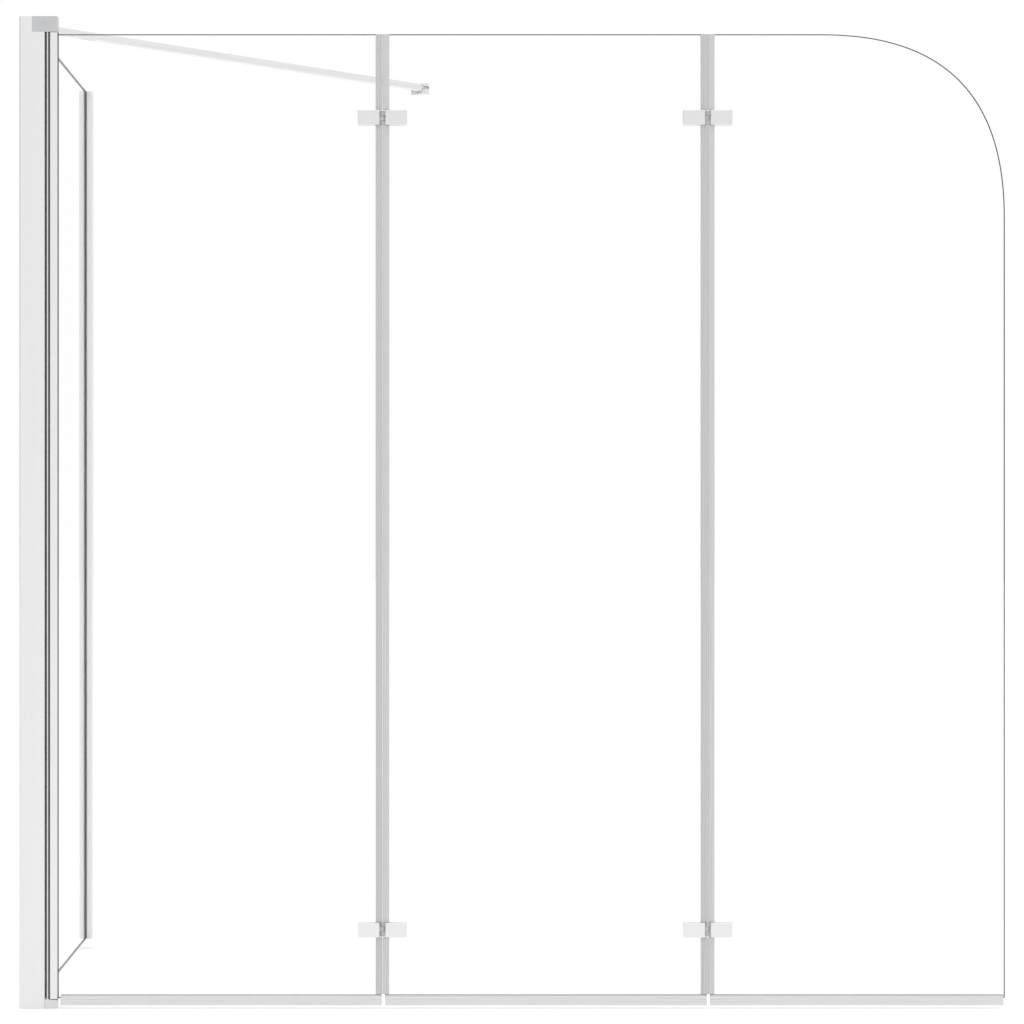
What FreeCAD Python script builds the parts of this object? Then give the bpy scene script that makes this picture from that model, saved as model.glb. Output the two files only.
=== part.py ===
import FreeCAD, Part
import os
import re
import Sketcher

# A folding bath screen for the open corner of a bath. A glass side panel stands square to the wall and
# ends in an upright post. Three glass leaves hang in a row from that post: the first turns on pins in the
# post's top cap and foot block, and the others fold inwards on clamp hinges. A stay bar ties the post to
# the wall. X runs along the row of leaves, away from the post. Y runs to the wall, which is at zero. Z is
# up from the foot of the wall channel. The side panel's glass lies in the plane X = 0.

SIZES = {
    # The whole screen
    "side_depth": 690,
    "glass_height": 1262,
    "glass_gauge": 4,
    "rim_drop": 15,
    "first_pitch": 439,
    "second_pitch": 426.5,
    "third_reach": 389.85,
    "corner_lead": 239,
    "running_fit": 0.05,
    "gasket_gauge": 1.5,
    "overrun": 1,
    # Corner post
    "post_width": 33.4,
    "post_depth": 34,
    "post_wall": 1.8,
    "post_offset": 8.1,
    "post_round": 2.2,
    "lip_round": 0.8,
    "face_offset": 7.5,
    "slot_floor": 8,
    "side_bite": 15,
    "port_bore": 3.4,
    "port_wall": 2,
    "port_root": 0.2,
    "port_inset": 7,
    "groove_start": 2.2,
    "groove_width": 2.4,
    "groove_depth": 2.2,
    # Cap, foot block and their screws
    "cap_width": 33.4,
    "cap_height": 20.5,
    "cap_lift": 2.5,
    "cap_round": 0.8,
    "cap_gap": 0.6,
    "block_height": 11.3,
    "plug_floor": 4,
    "plug_play": 0.2,
    "washer_gauge": 1,
    "washer_diameter": 6,
    "pin_diameter": 3.5,
    "pin_reach": 32,
    "pin_seat": 9,
    "screw_shank": 3.3,
    "screw_head": 5.6,
    "screw_length": 34,
    "screw_sink": 2,
    "plug_depth": 12,
    "seal_flange": 0.8,
    # Pivot profile of the first leaf
    "pivot_gap": 6.9,
    "pivot_inset": 3.2,
    "knuckle_diameter": 5.2,
    "knuckle_web": 1.8,
    "profile_width": 9.8,
    "profile_wall": 1.6,
    "glass_setting": 3.2,
    "gasket_lip": 0.7,
    # Folding leaves and their clamp hinges
    "leaf_drop": 2,
    "edge_gap": 6.4,
    "fold_offset": 8,
    "hinge_drop": 109.5,
    "hinge_rise": 87.4,
    "clamp_length": 28.5,
    "clamp_height": 19.5,
    "clamp_gap": 7.5,
    "clamp_bevel": 0.8,
    "front_gauge": 4,
    "back_gauge": 4.4,
    "back_gap": 9.4,
    "pad_gauge": 1,
    "barrel_diameter": 8,
    "barrel_middle": 6.5,
    "barrel_play": 0.3,
    "fold_pin": 4,
    "notch_width": 8,
    "clamp_shank": 4.8,
    "clamp_head": 9,
    "clamp_sink": 2.2,
    "clamp_grip": 2.5,
    "socket_size": 3,
    "socket_depth": 1.6,
    # Upright seals between the leaves
    "seal_reach": 9,
    "seal_gauge": 1.1,
    "seal_parting": 0.3,
    "seal_nose": 0.7,
    "bulb_wall": 0.8,
    "seal_notch": 0.6,
    # Drip seals under the leaves
    "drip_leg": 4.4,
    "drip_gauge": 1.4,
    "drip_floor": 1.8,
    "fin_drop": 7.6,
    "fin_spread": 1,
    "fin_gauge": 1.1,
    "drip_start": 3.7,
    "drip_near": 1,
    "drip_far": 3.5,
    "drip_end": 2,
    # Channel on the wall
    "channel_width": 18.5,
    "channel_depth": 30,
    "channel_wall": 1.8,
    "channel_round": 0.6,
    "glass_stand": 8,
    "wall_gasket_depth": 9,
    "screw_hole": 4.5,
    "hole_inset": 81,
    "inner_spacing": 400,
    # Stay bar, its end fittings and its bracket on the wall
    "stay_size": 10,
    "stay_wall": 1.2,
    "stay_start_in": 20.4,
    "stay_start_back": 13.5,
    "stay_plug": 14,
    "stay_play": 0.1,
    "stud_diameter": 6,
    "stud_length": 11,
    "stud_floor": 0.9,
    "grub_diameter": 3,
    "grub_length": 4,
    "pin_along": 503.5,
    "pin_off_wall": 11,
    "tongue_gauge": 3.2,
    "tongue_width": 9,
    "tongue_bare": 11,
    "slot_play": 0.3,
    "lug_width": 16,
    "lug_low": 7.1,
    "lug_high": 4.6,
    "plate_width": 27,
    "plate_gauge": 4,
    "bracket_hole": 4.5,
    "bracket_hole_inset": 5.5,
    "stay_pin": 4,
}

WORD = re.compile(r"[a-z]+(?:_[a-z]+)*")
NEAR = 1e-4


def read(words):
    """The expression with each size in it taken from the sheet."""
    return WORD.sub(lambda found: ("Sizes." if found.group() in SIZES else "") + found.group(), words)


def value(words):
    """What an expression comes to with the sizes as they are."""
    return float(sheet.evalExpression(read(words)))


def bind(thing, **sizes):
    """Ties properties of a thing to expressions."""
    for name, words in sizes.items():
        thing.setExpression(name, read(words))
    return thing


def place(thing, x="0", y="0", z="0"):
    """Ties the place of a thing to expressions."""
    for axis, words in zip("xyz", (x, y, z)):
        thing.setExpression("Placement.Base." + axis, read(words))
    return thing


def box(name, length, width, height, x="0", y="0", z="0"):
    made = doc.addObject("Part::Box", name)
    bind(made, Length=length, Width=width, Height=height)
    return place(made, x, y, z)


def rod(name, diameter, height, x="0", y="0", z="0"):
    made = doc.addObject("Part::Cylinder", name)
    bind(made, Radius=f"({diameter}) / 2", Height=height)
    return place(made, x, y, z)


def hexagon(name, across, height):
    made = doc.addObject("Part::Prism", name)
    made.Polygon = 6
    return bind(made, Circumradius=f"({across}) / sqrt(3)", Height=height)


def join(name, *shapes):
    made = doc.addObject("Part::MultiFuse", name)
    made.Shapes = list(shapes)
    return made


def group(name, *shapes):
    made = doc.addObject("Part::Compound", name)
    made.Links = list(shapes)
    return made


def cut(name, base, *tools):
    made = doc.addObject("Part::Cut", name)
    made.Base = base
    made.Tool = tools[0] if len(tools) == 1 else group(name + "_tools", *tools)
    return made


def tilt(thing, axis, degrees):
    """Turns a thing about an axis through its own origin."""
    thing.Placement.Rotation = FreeCAD.Rotation(FreeCAD.Vector(*axis), degrees)
    return thing


def body(name, x="0", y="0", z="0"):
    return place(doc.addObject("PartDesign::Body", name), x, y, z)


def sketch(owner, role="XY_Plane", lift="0"):
    """A sketch on one of a body's own planes, moved off it by a lift."""
    made = owner.newObject("Sketcher::SketchObject", owner.Name + "_sketch")
    made.AttachmentSupport = (next(item for item in owner.Origin.OriginFeatures if item.Role == role), [""])
    made.MapMode = "FlatFace"
    made.setExpression("AttachmentOffset.Base.z", read(lift))
    return made


def pin_point(drawing, geometry, point, across, up):
    """Holds a point of a sketch at two sizes from its origin."""
    for kind, words in (("DistanceX", across), ("DistanceY", up)):
        index = drawing.addConstraint(Sketcher.Constraint(kind, -1, 1, geometry, point, value(words)))
        drawing.setExpression(f"Constraints[{index}]", read(words))


def loop(drawing, corners):
    """A ring of straight edges through corners that are each held by two sizes."""
    points = [FreeCAD.Vector(value(across), value(up), 0) for across, up in corners]
    first = drawing.GeometryCount
    drawing.addGeometry([Part.LineSegment(a, b) for a, b in zip(points, points[1:] + points[:1])], False)
    for index in range(len(corners)):
        following = first + (index + 1) % len(corners)
        drawing.addConstraint(Sketcher.Constraint("Coincident", first + index, 2, following, 1))
    for index, (across, up) in enumerate(corners):
        pin_point(drawing, first + index, 1, across, up)
    return drawing


def oblong(drawing, left, right, low, high):
    return loop(drawing, [(left, low), (right, low), (right, high), (left, high)])


def circle(drawing, across, up, diameter):
    """A circle held by its centre and its radius."""
    radius = f"({diameter}) / 2"
    centre = FreeCAD.Vector(value(across), value(up), 0)
    index = drawing.addGeometry(Part.Circle(centre, FreeCAD.Vector(0, 0, 1), value(radius)), False)
    pin_point(drawing, index, 3, across, up)
    held = drawing.addConstraint(Sketcher.Constraint("Radius", index, value(radius)))
    drawing.setExpression(f"Constraints[{held}]", read(radius))
    return drawing


def sweep(kind, drawing, length, side, back):
    owner = drawing.getParentGeoFeatureGroup()
    made = owner.newObject("PartDesign::" + kind, owner.Name + "_" + kind.lower())
    made.Profile = drawing
    made.SideType = side
    made.Reversed = back
    return bind(made, Length=length)


def pad(drawing, length, side="One side", back=False):
    """Raises a sketch of a body by a length."""
    return sweep("Pad", drawing, length, side, back)


def pocket(drawing, depth):
    """Cuts a sketch of a body out, half the depth to each side of it."""
    return sweep("Pocket", drawing, depth, "Symmetric", False)


def dress(kind, owner, size, middles):
    """Rounds or bevels the edges of a body whose middles lie at the given points, each of three sizes."""
    doc.recompute()
    base = owner.Tip
    spots = [FreeCAD.Vector(*[value(words) for words in middle]) for middle in middles]
    names = []
    for number, edge in enumerate(base.Shape.Edges, 1):
        middle = edge.valueAt((edge.FirstParameter + edge.LastParameter) / 2)
        if any((middle - spot).Length < NEAR for spot in spots):
            names.append(f"Edge{number}")
    if len(names) != len(spots):
        raise RuntimeError(f"{owner.Label}: {len(names)} of {len(spots)} edges found")
    made = owner.newObject("PartDesign::" + kind, owner.Name + "_" + kind.lower())
    made.Base = (base, names)
    made.setExpression("Radius" if kind == "Fillet" else "Size", read(size))
    return made


def section_round(owner, radius, corners, tall):
    """Rounds the long edges of an extrusion over the given corners of its section."""
    return dress("Fillet", owner, radius, [(across, back, f"({tall}) / 2") for across, back in corners])


doc = FreeCAD.newDocument("folding_bath_screen")
sheet = doc.addObject("Spreadsheet::Sheet", "Sizes")
for row, (name, size) in enumerate(SIZES.items(), 1):
    sheet.set(f"A{row}", name)
    sheet.set(f"B{row}", str(size))
    sheet.setAlias(f"B{row}", name)
doc.recompute()

# Places that several pieces share. ROW_Y is the middle plane of the folding glass.
ROW_Y = "(0 - side_depth)"
PIVOT_X = "(post_offset + pivot_gap / 2)"
PIVOT_Y = "(pivot_inset - face_offset - side_depth)"
FOLD_X = {"first": f"({PIVOT_X} + first_pitch)", "second": f"({PIVOT_X} + first_pitch + second_pitch)"}
FREE_EDGE = f"({FOLD_X['second']} + third_reach)"
LEVELS = {"upper": "(glass_height - hinge_drop)", "lower": "(hinge_rise)"}
SIDES = {"near": -1, "far": 1}
GLASS_HALF = "(glass_gauge / 2)"
SLOT = "(glass_gauge / 2 + gasket_gauge)"
CLAMP_MIDDLE = "(clamp_gap / 2 + clamp_length / 2)"
CLAMP_END = "(clamp_gap / 2 + clamp_length)"
PAD_FACE = "(glass_gauge / 2 + pad_gauge)"
POST_LEFT = "(post_offset - post_width)"
POST_BACK = "(post_depth - face_offset)"
CAP_FOOT = "(glass_height + cap_lift)"
POST_TOP = f"({CAP_FOOT} + cap_height)"
POST_TALL = f"({POST_TOP} + rim_drop)"
CHAMBER_LEFT = f"({POST_LEFT} + post_wall)"
CHAMBER_RIGHT = "(post_offset - groove_depth - post_wall)"
CHAMBER_FRONT = "(post_wall - face_offset)"
CHAMBER_BACK = "(slot_floor - post_wall)"
CAP_RIGHT = "(post_offset + pivot_gap + profile_width)"
CAP_LEFT = f"({CAP_RIGHT} - cap_width)"
PORT_X = f"({CHAMBER_RIGHT} - port_inset)"
PORT_Y = f"({CHAMBER_FRONT} + port_bore / 2 + port_wall - port_root)"
BLOCK_TOP = "(block_height - rim_drop)"
PROFILE_LEFT = "(post_offset + pivot_gap)"
PROFILE_FOOT = f"({BLOCK_TOP} + washer_gauge + running_fit)"
PROFILE_TALL = f"({CAP_FOOT} - cap_gap - {PROFILE_FOOT})"
STAY_Z = f"({CAP_FOOT} + stud_floor + stay_play + stud_diameter / 2)"
STAY_ALONG = "(pin_along - stay_start_in)"
STAY_BACK = "(side_depth - stay_start_back - pin_off_wall)"
STAY_RUN = f"sqrt({STAY_ALONG} * {STAY_ALONG} + {STAY_BACK} * {STAY_BACK})"
STAY_SLOPE = f"({STAY_ALONG} / {STAY_BACK})"
SLOT_TALL = "(tongue_gauge + 2 * slot_play)"
BRACKET_FOOT = f"({STAY_Z} - {SLOT_TALL} / 2 - lug_low)"
BRACKET_TALL = f"(lug_low + {SLOT_TALL} + lug_high)"


def along(thing, run, off, up):
    """Puts a thing on the stay, so far along it and so far to its left, turned with it."""
    x = f"stay_start_in + (({run}) * {STAY_ALONG} - ({off}) * {STAY_BACK}) / {STAY_RUN}"
    y = f"stay_start_back - side_depth + (({run}) * {STAY_BACK} + ({off}) * {STAY_ALONG}) / {STAY_RUN}"
    place(thing, x, y, up)
    tilt(thing, (0, 0, 1), 1)
    return bind(thing, **{"Placement.Rotation.Angle": f"atan2({STAY_BACK}; {STAY_ALONG})"})


def lay(thing, run, up):
    """Lays a rod that was made upright along the stay, from so far along it."""
    along(thing, run, "0", up)
    tilt(thing, (0, 1, 0), 90)
    thing.setExpression("Placement.Rotation.Angle", None)
    thing.Placement.Rotation = FreeCAD.Rotation(FreeCAD.Vector(0, 1, 0), 90)
    thing.setExpression("Placement.Rotation.Axis.x", read(f"0 - {STAY_BACK} / {STAY_RUN}"))
    thing.setExpression("Placement.Rotation.Axis.y", read(f"{STAY_ALONG} / {STAY_RUN}"))
    return thing


def cap_screw(name, head, deep, shank, length):
    """A screw that points up from its flat head, with a hexagon socket."""
    solid = join(name + "_blank", rod(name + "_head", head, deep), rod(name + "_shank", shank, length))
    return cut(name, solid, hexagon(name + "_socket", "socket_size", "socket_depth"))


def sink(name, head, deep, shank, length):
    """The stepped hole for a screw, wider than it by the running fit."""
    loose = " + 2 * running_fit"
    return join(name, rod(name + "_head", head + loose, deep), rod(name + "_shank", shank + loose, length))


def corner_post():
    """An extruded post with a slot at the back for the side glass and a port for the end screws."""
    post = body("corner_post", y=ROW_Y, z="0 - rim_drop")
    groove_floor = "post_offset - groove_depth"
    groove_end = "groove_start + groove_width"
    section = loop(sketch(post), [
        (POST_LEFT, "0 - face_offset"), ("post_offset", "0 - face_offset"), ("post_offset", "groove_start"),
        (groove_floor, "groove_start"), (groove_floor, groove_end), ("post_offset", groove_end),
        ("post_offset", POST_BACK), (SLOT, POST_BACK), (SLOT, "slot_floor"),
        (f"0 - {SLOT}", "slot_floor"), (f"0 - {SLOT}", POST_BACK), (POST_LEFT, POST_BACK),
    ])
    oblong(section, CHAMBER_LEFT, CHAMBER_RIGHT, CHAMBER_FRONT, CHAMBER_BACK)
    oblong(section, CHAMBER_LEFT, f"0 - {SLOT} - post_wall", "slot_floor", f"{POST_BACK} - post_wall")
    pad(section, POST_TALL)
    outer = [(POST_LEFT, "0 - face_offset"), (POST_LEFT, POST_BACK), ("post_offset", POST_BACK)]
    section_round(post, "post_round", outer, POST_TALL)
    section_round(post, "lip_round", [("post_offset", "0 - face_offset")], POST_TALL)
    port = circle(sketch(post, lift="plug_floor"), PORT_X, PORT_Y, "port_bore")
    circle(port, PORT_X, PORT_Y, "port_bore + 2 * port_wall")
    pad(port, f"{CAP_FOOT} + rim_drop - plug_floor")
    notch = sketch(post, "XZ_Plane")
    oblong(notch, CAP_LEFT, "post_offset + overrun", f"{CAP_FOOT} + rim_drop", f"{POST_TALL} + overrun")
    pocket(notch, "2 * (post_depth + face_offset)")
    doorway = sketch(post, "XZ_Plane")
    oblong(doorway, f"{CHAMBER_RIGHT} - overrun", "post_offset + overrun", "0 - overrun", "block_height")
    pocket(doorway, f"0 - 2 * {CHAMBER_FRONT}")
    return post


def post_cap():
    """A cast cap in the post's notch: it holds the upper pin and the stay, and a screw holds it down."""
    cast = body("cap_casting", y=ROW_Y, z=CAP_FOOT)
    plan = loop(sketch(cast), [
        (CAP_LEFT, "0 - face_offset"),
        (CAP_RIGHT, "0 - face_offset"),
        (CAP_RIGHT, f"stay_start_back - ({CAP_RIGHT} - stay_start_in) * {STAY_SLOPE}"),
        (f"stay_start_in - ({POST_BACK} - stay_start_back) / {STAY_SLOPE}", POST_BACK),
        (CAP_LEFT, POST_BACK),
    ])
    pad(plan, "cap_height")
    middle_y = f"(stay_start_back - face_offset - ({CAP_RIGHT} - stay_start_in) * {STAY_SLOPE}) / 2"
    dress("Fillet", cast, "cap_round", [(CAP_RIGHT, middle_y, "cap_height")])
    seat = circle(sketch(cast), PIVOT_X, "pivot_inset - face_offset", "pin_diameter + 2 * running_fit")
    pocket(seat, "2 * pin_seat")
    stud = lay(rod("stud_bore", "stud_diameter + 2 * stay_play", "stud_length + stay_play + overrun"),
               "0 - stud_length - stay_play", STAY_Z)
    grub = along(rod("grub_bore", "grub_diameter + 2 * running_fit", f"{POST_TOP} - {STAY_Z} + overrun"),
                 "0 - stud_length / 2", "0", STAY_Z)
    screw = place(tilt(sink("cap_screw_hole", "screw_head", "screw_sink", "screw_shank", "cap_height + overrun"),
                       (1, 0, 0), 180), PORT_X, f"{ROW_Y} + {PORT_Y}", POST_TOP)
    return cut("post_cap", cast, stud, grub, screw)


def foot_block():
    """A plug in the foot of the post, with an arm through a doorway that carries the lower pin."""
    cast = body("foot_casting", y=ROW_Y, z="0 - rim_drop")
    floor = oblong(sketch(cast), f"{CHAMBER_LEFT} + plug_play", "post_offset", f"{CHAMBER_FRONT} + plug_play",
                   f"0 - {CHAMBER_FRONT} - plug_play")
    pad(floor, "plug_floor")
    neck = oblong(sketch(cast), f"{CHAMBER_RIGHT} - overrun + plug_play", "post_offset + overrun",
                  f"{CHAMBER_FRONT} + plug_play", f"0 - {CHAMBER_FRONT} - plug_play")
    pad(neck, "block_height - plug_play")
    pad(oblong(sketch(cast), "post_offset", CAP_RIGHT, "0 - face_offset", "face_offset"), "block_height")
    section_round(cast, "lip_round", [(CAP_RIGHT, "0 - face_offset"), (CAP_RIGHT, "face_offset")], "block_height")
    seat = sketch(cast, lift="block_height")
    circle(seat, PIVOT_X, "pivot_inset - face_offset", "pin_diameter + 2 * running_fit")
    pocket(seat, "2 * pin_seat")
    screw = place(sink("foot_screw_hole", "screw_head", "screw_sink", "screw_shank", "plug_floor + overrun"),
                  PORT_X, f"{ROW_Y} + {PORT_Y}", "0 - rim_drop")
    return cut("foot_block", cast, screw)


def post_screws():
    """Two screws, one down through the cap and one up through the foot block, in the post's port."""
    upper = cap_screw("upper_screw", "screw_head", "screw_sink", "screw_shank", "screw_length")
    lower = cap_screw("lower_screw", "screw_head", "screw_sink", "screw_shank", "screw_length")
    place(tilt(upper, (1, 0, 0), 180), PORT_X, f"{ROW_Y} + {PORT_Y}", POST_TOP)
    place(lower, PORT_X, f"{ROW_Y} + {PORT_Y}", "0 - rim_drop")
    return group("post_screws", upper, lower)


def post_plugs():
    """Two push-in plugs that close the post's chambers beside the cap."""
    wide = f"{CAP_LEFT} - {CHAMBER_LEFT} - 2 * plug_play"
    front = box("front_plug", wide, f"{CHAMBER_BACK} - {CHAMBER_FRONT} - 2 * plug_play", "plug_depth",
                f"{CHAMBER_LEFT} + plug_play", f"{ROW_Y} + {CHAMBER_FRONT} + plug_play", f"{POST_TOP} - plug_depth")
    back = box("back_plug", wide, f"{POST_BACK} - post_wall - slot_floor - 2 * plug_play", "plug_depth",
               f"{CHAMBER_LEFT} + plug_play", f"{ROW_Y} + slot_floor + plug_play", f"{POST_TOP} - plug_depth")
    return group("post_plugs", front, back)


def pivot_pins():
    """Steel pins on which the first leaf turns, one from the cap and one from the foot block."""
    long = "pin_seat + pin_reach"
    upper = rod("upper_pivot_pin", "pin_diameter", long, PIVOT_X, PIVOT_Y, f"{CAP_FOOT} - pin_reach")
    lower = rod("lower_pivot_pin", "pin_diameter", long, PIVOT_X, PIVOT_Y, f"{BLOCK_TOP} - pin_seat")
    return [upper, lower]


def thrust_washer():
    disc = rod("washer_disc", "washer_diameter", "washer_gauge", PIVOT_X, PIVOT_Y, BLOCK_TOP)
    bore = rod("washer_bore", "pin_diameter + 2 * running_fit", "washer_gauge", PIVOT_X, PIVOT_Y, BLOCK_TOP)
    return cut("thrust_washer", disc, bore)


def post_seal():
    """A soft fin in the post's groove that closes the gap behind the pivot."""
    seal = body("post_seal", y=ROW_Y, z=PROFILE_FOOT)
    tip = f"{PROFILE_LEFT} - barrel_play"
    groove_end = "groove_start + groove_width"
    root = "post_offset - groove_depth + stay_play"
    face = "post_offset + seal_gauge"
    loop(sketch(seal), [
        (root, "groove_start + stay_play"), ("post_offset", "groove_start + stay_play"),
        ("post_offset", "groove_start - seal_flange"), (face, "groove_start - seal_flange"),
        (tip, groove_end), (tip, f"{groove_end} + seal_gauge"), (face, f"{groove_end} - seal_gauge"),
        (face, f"{groove_end} + seal_flange"), ("post_offset", f"{groove_end} + seal_flange"),
        ("post_offset", f"{groove_end} - stay_play"), (root, f"{groove_end} - stay_play"),
    ])
    pad(seal.Group[-1], f"{CAP_FOOT} - {PROFILE_FOOT}")
    return seal


def side_panel():
    """The fixed side glass, the rubber that beds it in the post and the strips that wedge it in the channel."""
    front = f"({POST_BACK} - side_bite)"
    glass = box("side_glass", "glass_gauge", f"side_depth - {front} - glass_stand", "glass_height",
                f"0 - {GLASS_HALF}", f"{ROW_Y} + {front}")
    bed = body("post_gasket", y=ROW_Y)
    mouth = f"{POST_BACK} + gasket_lip"
    loop(sketch(bed), [
        (f"0 - {SLOT}", "slot_floor"), (SLOT, "slot_floor"), (SLOT, mouth), (GLASS_HALF, mouth),
        (GLASS_HALF, front), (f"0 - {GLASS_HALF}", front), (f"0 - {GLASS_HALF}", mouth), (f"0 - {SLOT}", mouth),
    ])
    pad(bed.Group[-1], "glass_height")
    strips = [
        box(f"wall_strip_{hand}", "gasket_gauge", "wall_gasket_depth + gasket_lip", "glass_height",
            left, "0 - channel_depth - gasket_lip")
        for hand, left in (("inner", GLASS_HALF), ("outer", f"0 - {SLOT}"))
    ]
    return [glass, bed, group("wall_gaskets", *strips)]


def wall_channel():
    """An extruded channel with lips, screwed to the wall through its back."""
    channel = body("wall_channel")
    half = "channel_width / 2"
    lip = "channel_wall - channel_depth"
    right = [(half, "0 - channel_depth"), (SLOT, "0 - channel_depth"), (SLOT, lip),
             (f"{half} - channel_wall", lip), (f"{half} - channel_wall", "0 - channel_wall")]
    left = [(f"0 - ({across})", back) for across, back in reversed(right)]
    loop(sketch(channel), [(f"0 - {half}", "0"), (half, "0"), *right, *left])
    pad(channel.Group[-1], "glass_height")
    corners = [(half, "0 - channel_depth"), (f"0 - {half}", "0 - channel_depth")]
    section_round(channel, "channel_round", corners, "glass_height")
    holes = sketch(channel, "XZ_Plane")
    for spacing in ("(glass_height - 2 * hole_inset)", "inner_spacing"):
        for way in ("-", "+"):
            circle(holes, "0", f"glass_height / 2 {way} {spacing} / 2", "screw_hole")
    pocket(holes, "2 * (channel_wall + overrun)")
    return channel


def stay():
    """The stay bar, a square tube, with a stud for the cap at one end and a tongue for the wall at the other."""
    tube = body("stay_bar")
    outside = "stay_size / 2"
    inside = "(stay_size / 2 - stay_wall)"
    section = oblong(sketch(tube, "YZ_Plane"), f"0 - {outside}", outside, f"0 - {outside}", outside)
    oblong(section, f"0 - {inside}", inside, f"0 - {inside}", inside)
    long = f"{STAY_RUN} - tongue_bare"
    pad(section, long)
    ridges = [(f"({long}) / 2", f"{a} {outside}", f"{b} {outside}") for a in ("0 -", "0 +") for b in ("0 -", "0 +")]
    dress("Fillet", tube, "lip_round", ridges)
    along(tube, "0", "0", STAY_Z)
    plug = f"(2 * {inside} - 2 * stay_play)"
    low = f"{STAY_Z} - {plug} / 2"
    near = join("stay_stud", along(box("stud_plug", "stay_plug", plug, plug), "0", f"0 - {plug} / 2", low),
                lay(rod("stud_rod", "stud_diameter", "stud_length + overrun"), "0 - stud_length", STAY_Z))
    under = f"{STAY_Z} - tongue_gauge / 2"
    blank = join("tongue_blank",
                 along(box("tongue_plug", "stay_plug + overrun", plug, plug), f"{long} - stay_plug",
                       f"0 - {plug} / 2", low),
                 along(box("tongue_strap", "tongue_bare", "tongue_width", "tongue_gauge"), long,
                       "0 - tongue_width / 2", under),
                 along(rod("tongue_end", "tongue_width", "tongue_gauge"), STAY_RUN, "0", under))
    eye = along(rod("tongue_eye", "stay_pin + 2 * running_fit", "tongue_gauge"), STAY_RUN, "0", under)
    grub = along(rod("stay_grub", "grub_diameter", "grub_length"), "0 - stud_length / 2", "0",
                 f"{STAY_Z} + stud_diameter / 2 + running_fit")
    return [tube, near, cut("stay_tongue", blank, eye), grub]


def wall_bracket():
    """A cast bracket on the wall whose two lugs take the stay's tongue on a pin."""
    pin_y = "0 - pin_off_wall"
    right = "(pin_along + lug_width / 2)"
    blank = join("bracket_blank",
                 box("bracket_plate", "plate_width", "plate_gauge", BRACKET_TALL, f"{right} - plate_width",
                     "0 - plate_gauge", BRACKET_FOOT),
                 box("bracket_neck", "lug_width", "pin_off_wall", BRACKET_TALL, "pin_along - lug_width / 2",
                     pin_y, BRACKET_FOOT),
                 rod("bracket_nose", "lug_width", BRACKET_TALL, "pin_along", pin_y, BRACKET_FOOT))
    slot = box("bracket_slot", "lug_width + 2 * overrun", "lug_width / 2 + tongue_width / 2 + 2 * overrun",
               SLOT_TALL, "pin_along - lug_width / 2 - overrun", f"{pin_y} - lug_width / 2 - overrun",
               f"{BRACKET_FOOT} + lug_low")
    eye = rod("bracket_eye", "stay_pin + 2 * running_fit", BRACKET_TALL, "pin_along", pin_y, BRACKET_FOOT)
    hole = tilt(rod("bracket_hole", "bracket_hole", "plate_gauge"), (1, 0, 0), 90)
    place(hole, f"{right} - plate_width + bracket_hole_inset", "0", f"{BRACKET_FOOT} + {BRACKET_TALL} / 2")
    pin = rod("stay_pin", "stay_pin", BRACKET_TALL, "pin_along", pin_y, BRACKET_FOOT)
    return [cut("wall_bracket", blank, slot, eye, hole), pin]


def pivot_profile():
    """The extruded profile on the first leaf: a channel for the glass with a hinge tube along its edge."""
    profile = body("pivot_profile", x=PROFILE_LEFT, y=ROW_Y, z=PROFILE_FOOT)
    mouth = "profile_width - profile_wall"
    inner = "face_offset - profile_wall"
    front = [("0", "0 - face_offset"), ("profile_width", "0 - face_offset"), ("profile_width", f"0 - {SLOT}"),
             (mouth, f"0 - {SLOT}"), (mouth, f"0 - ({inner})"), ("profile_wall", f"0 - ({inner})")]
    rear = [(across, f"0 - ({back})") for across, back in reversed(front)]
    pad(loop(sketch(profile), front + rear), PROFILE_TALL)
    corners = [(across, f"{way} face_offset") for across in ("0", "profile_width") for way in ("0 -", "0 +")]
    section_round(profile, "lip_round", corners, PROFILE_TALL)
    axis_x = "(0 - pivot_gap / 2)"
    axis_y = "(pivot_inset - face_offset)"
    tube = circle(sketch(profile), axis_x, axis_y, "knuckle_diameter")
    circle(tube, axis_x, axis_y, "pin_diameter + 2 * running_fit")
    pad(tube, PROFILE_TALL)
    web = sketch(profile)
    oblong(web, f"{axis_x} + (knuckle_diameter + pin_diameter) / 4", "profile_wall / 2",
           f"{axis_y} - knuckle_web / 2", f"{axis_y} + knuckle_web / 2")
    pad(web, PROFILE_TALL)
    return profile


def pivot_gasket():
    """The rubber channel between the pivot profile and the first glass."""
    gasket = body("pivot_gasket", x=PROFILE_LEFT, y=ROW_Y, z=PROFILE_FOOT)
    lip = "profile_width + gasket_lip"
    front = [("profile_wall", f"0 - {SLOT}"), (lip, f"0 - {SLOT}"), (lip, f"0 - {GLASS_HALF}"),
             ("glass_setting", f"0 - {GLASS_HALF}")]
    rear = [(across, back.replace("0 - ", "")) for across, back in reversed(front)]
    pad(loop(sketch(gasket), front + rear), PROFILE_TALL)
    return gasket


def screw_notch(name, fold, sign, face, gauge, height):
    """A slot from a leaf's edge to past its clamp screw, through a sheet that starts so far behind ROW_Y."""
    long = f"({CLAMP_MIDDLE} + notch_width / 2)"
    left = "0" if sign > 0 else f"0 - {long}"
    return box(name, long, gauge, "notch_width", f"{FOLD_X[fold]} + {left}", f"{ROW_Y} + {face}",
               f"{height} - notch_width / 2")


def notch_glass(name, blank, edges):
    """Notches a glass for the clamp screws on its hinged edges, each a fold and the side that the glass lies on."""
    notches = [screw_notch(f"{name}_{fold}_{level}_notch", fold, sign, f"(0 - {GLASS_HALF})", "glass_gauge", height)
               for fold, sign in edges for level, height in LEVELS.items()]
    return cut(name, blank, *notches)


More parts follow.
